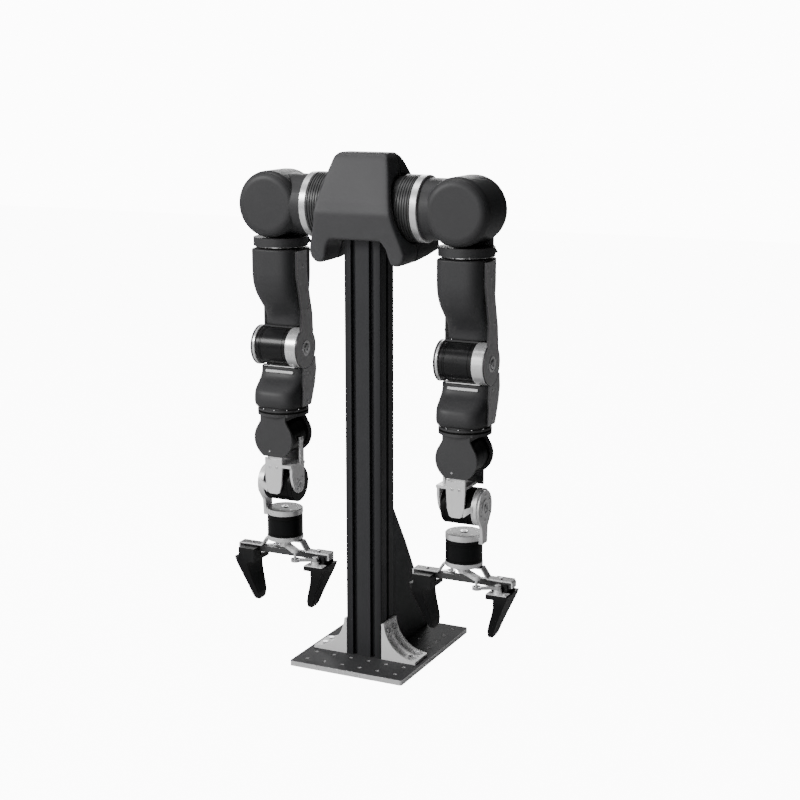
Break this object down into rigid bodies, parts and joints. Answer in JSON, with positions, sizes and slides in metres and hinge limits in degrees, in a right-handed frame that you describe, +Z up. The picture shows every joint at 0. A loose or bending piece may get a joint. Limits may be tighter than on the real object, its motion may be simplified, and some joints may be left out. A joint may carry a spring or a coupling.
{
  "type": "dual-arm robot",
  "caption": "Two jointed robot arms with sliding-finger grippers, hung from the shoulders of a slotted metal column on a drilled base plate.",
  "frame": {"origin": "centre of the base plate's bottom face", "axes": "+Z up along the column; -Y is the front, the way the grippers' robot faces; +X is the robot's own left"},
  "size_m": [0.47, 0.25, 0.778],
  "materials": {
    "black_anodised": "black anodised, satin",
    "bare_aluminium": "bare, satin",
    "steel": "ground",
    "grey_sheet": "dark grey powder coat",
    "dark_cover": "moulded, satin",
    "dark_shell": "moulded, satin",
    "grey_plate": "dark grey anodised",
    "motor_black": "black anodised",
    "black_plastic": "printed, matt"
  },
  "bodies": {
    "stand": {"base_plate": "black_anodised", "column": "black_anodised", "corner_brackets": "bare_aluminium", "bracket_bolts": "steel", "rear_brace": "grey_sheet", "torso_frame": "grey_sheet", "front_cover": "dark_cover", "rear_cover": "dark_cover", "left_shoulder_drive": "motor_black", "right_shoulder_drive": "motor_black"},
    "left_shoulder_body": {"left_shoulder_ring": "bare_aluminium", "left_shoulder_housing": "dark_shell", "left_lift_motor": "motor_black"},
    "left_collar_body": {"left_arm_collar": "dark_shell"},
    "left_upper_arm": {"left_twist_motor": "motor_black", "left_upper_arm_shell": "dark_shell", "left_upper_arm_plates": "grey_plate", "left_elbow_rings": "bare_aluminium"},
    "left_forearm": {"left_elbow_motor": "motor_black", "left_forearm_shell": "dark_shell", "left_forearm_frame": "grey_plate", "left_roll_motor": "motor_black"},
    "left_wrist": {"left_wrist_housing": "grey_plate", "left_wrist_motor": "motor_black"},
    "left_fork": {"left_wrist_fork": "bare_aluminium", "left_hand_motor": "motor_black"},
    "left_hand": {"left_hand_bracket": "bare_aluminium", "left_gripper_motor": "motor_black", "left_gripper_strip": "bare_aluminium", "left_gripper_rail": "steel"},
    "left_crank_body": {"left_crank": "bare_aluminium"},
    "left_finger_a_body": {"left_finger_a": "black_plastic"},
    "left_link_a_body": {"left_link_a": "steel"},
    "left_finger_b_body": {"left_finger_b": "black_plastic"},
    "left_link_b_body": {"left_link_b": "steel"},
    "right_shoulder_body": {"right_shoulder_ring": "bare_aluminium", "right_shoulder_housing": "dark_shell", "right_lift_motor": "motor_black"},
    "right_collar_body": {"right_arm_collar": "dark_shell"},
    "right_upper_arm": {"right_twist_motor": "motor_black", "right_upper_arm_shell": "dark_shell", "right_upper_arm_plates": "grey_plate", "right_elbow_rings": "bare_aluminium"},
    "right_forearm": {"right_elbow_motor": "motor_black", "right_forearm_shell": "dark_shell", "right_forearm_frame": "grey_plate", "right_roll_motor": "motor_black"},
    "right_wrist": {"right_wrist_housing": "grey_plate", "right_wrist_motor": "motor_black"},
    "right_fork": {"right_wrist_fork": "bare_aluminium", "right_hand_motor": "motor_black"},
    "right_hand": {"right_hand_bracket": "bare_aluminium", "right_gripper_motor": "motor_black", "right_gripper_strip": "bare_aluminium", "right_gripper_rail": "steel"},
    "right_crank_body": {"right_crank": "bare_aluminium"},
    "right_finger_a_body": {"right_finger_a": "black_plastic"},
    "right_link_a_body": {"right_link_a": "steel"},
    "right_finger_b_body": {"right_finger_b": "black_plastic"},
    "right_link_b_body": {"right_link_b": "steel"}
  },
  "joints": [
    {"name": "left_shoulder_swing", "type": "hinge", "parent": "stand", "child": "left_shoulder_body", "pos_m": [0.1535, -0.03, 0.698], "axis": [-1, 0, 0], "range_deg": [-80, 200]},
    {"name": "left_shoulder_lift", "type": "hinge", "parent": "left_shoulder_body", "child": "left_collar_body", "pos_m": [0.1535, -0.03, 0.698], "axis": [0, -1, 0], "range_deg": [-3, 180]},
    {"name": "left_arm_twist", "type": "hinge", "parent": "left_collar_body", "child": "left_upper_arm", "pos_m": [0.1535, -0.03, 0.632], "axis": [0, 0, -1], "range_deg": [-90, 90]},
    {"name": "left_elbow", "type": "hinge", "parent": "left_upper_arm", "child": "left_forearm", "pos_m": [0.1535, -0.03, 0.478], "axis": [-1, 0, 0], "range_deg": [0, 130]},
    {"name": "left_forearm_roll", "type": "hinge", "parent": "left_forearm", "child": "left_wrist", "pos_m": [0.1535, -0.03, 0.386], "axis": [0, 0, 1], "range_deg": [-90, 90]},
    {"name": "left_wrist_tilt", "type": "hinge", "parent": "left_wrist", "child": "left_fork", "pos_m": [0.1535, -0.03, 0.338], "axis": [0, 1, 0], "range_deg": [-45, 12]},
    {"name": "left_wrist_pitch", "type": "hinge", "parent": "left_fork", "child": "left_hand", "pos_m": [0.1535, -0.03, 0.262], "axis": [1, 0, 0], "range_deg": [-90, 90]},
    {"name": "left_finger_a_slide", "type": "slide", "parent": "left_hand", "child": "left_finger_a_body", "axis": [-1, 0, 0], "range_m": [0, 0.0435]},
    {"name": "left_finger_b_slide", "type": "slide", "parent": "left_hand", "child": "left_finger_b_body", "axis": [1, 0, 0], "range_m": [0, 0.0435]},
    {"name": "left_crank_turn", "type": "hinge", "parent": "left_hand", "child": "left_crank_body", "pos_m": [0.1535, -0.03, 0.16], "axis": [0, 0, 1], "range_deg": [-46.7, 0]},
    {"name": "left_link_a_turn", "type": "hinge", "parent": "left_finger_a_body", "child": "left_link_a_body", "pos_m": [0.2135, -0.042, 0.1455], "axis": [0, 0, 1], "range_deg": [0, 40.4]},
    {"name": "left_link_b_turn", "type": "hinge", "parent": "left_finger_b_body", "child": "left_link_b_body", "pos_m": [0.0935, -0.018, 0.1455], "axis": [0, 0, 1], "range_deg": [0, 40.4]},
    {"name": "right_shoulder_swing", "type": "hinge", "parent": "stand", "child": "right_shoulder_body", "pos_m": [-0.1535, -0.03, 0.698], "axis": [-1, 0, 0], "range_deg": [-80, 200]},
    {"name": "right_shoulder_lift", "type": "hinge", "parent": "right_shoulder_body", "child": "right_collar_body", "pos_m": [-0.1535, -0.03, 0.698], "axis": [0, 1, 0], "range_deg": [-3, 180]},
    {"name": "right_arm_twist", "type": "hinge", "parent": "right_collar_body", "child": "right_upper_arm", "pos_m": [-0.1535, -0.03, 0.632], "axis": [0, 0, 1], "range_deg": [-90, 90]},
    {"name": "right_elbow", "type": "hinge", "parent": "right_upper_arm", "child": "right_forearm", "pos_m": [-0.1535, -0.03, 0.478], "axis": [-1, 0, 0], "range_deg": [0, 130]},
    {"name": "right_forearm_roll", "type": "hinge", "parent": "right_forearm", "child": "right_wrist", "pos_m": [-0.1535, -0.03, 0.386], "axis": [0, 0, -1], "range_deg": [-90, 90]},
    {"name": "right_wrist_tilt", "type": "hinge", "parent": "right_wrist", "child": "right_fork", "pos_m": [-0.1535, -0.03, 0.338], "axis": [0, -1, 0], "range_deg": [-45, 12]},
    {"name": "right_wrist_pitch", "type": "hinge", "parent": "right_fork", "child": "right_hand", "pos_m": [-0.1535, -0.03, 0.262], "axis": [1, 0, 0], "range_deg": [-90, 90]},
    {"name": "right_finger_a_slide", "type": "slide", "parent": "right_hand", "child": "right_finger_a_body", "axis": [-1, 0, 0], "range_m": [0, 0.0435]},
    {"name": "right_finger_b_slide", "type": "slide", "parent": "right_hand", "child": "right_finger_b_body", "axis": [1, 0, 0], "range_m": [0, 0.0435]},
    {"name": "right_crank_turn", "type": "hinge", "parent": "right_hand", "child": "right_crank_body", "pos_m": [-0.1535, -0.03, 0.16], "axis": [0, 0, 1], "range_deg": [-46.7, 0]},
    {"name": "right_link_a_turn", "type": "hinge", "parent": "right_finger_a_body", "child": "right_link_a_body", "pos_m": [-0.0935, -0.042, 0.1455], "axis": [0, 0, 1], "range_deg": [0, 40.4]},
    {"name": "right_link_b_turn", "type": "hinge", "parent": "right_finger_b_body", "child": "right_link_b_body", "pos_m": [-0.2135, -0.018, 0.1455], "axis": [0, 0, 1], "range_deg": [0, 40.4]}
  ],
  "couplings": [
    {"joint": "left_finger_b_slide", "follows": "left_finger_a_slide", "ratio": 1},
    {"joint": "left_crank_turn", "follows": "left_finger_a_slide", "rad_per_m": -18.54},
    {"joint": "left_link_a_turn", "follows": "left_finger_a_slide", "rad_per_m": 15.99},
    {"joint": "left_link_b_turn", "follows": "left_finger_a_slide", "rad_per_m": 15.99},
    {"joint": "right_finger_b_slide", "follows": "right_finger_a_slide", "ratio": 1},
    {"joint": "right_crank_turn", "follows": "right_finger_a_slide", "rad_per_m": -18.54},
    {"joint": "right_link_a_turn", "follows": "right_finger_a_slide", "rad_per_m": 15.99},
    {"joint": "right_link_b_turn", "follows": "right_finger_a_slide", "rad_per_m": 15.99}
  ]
}
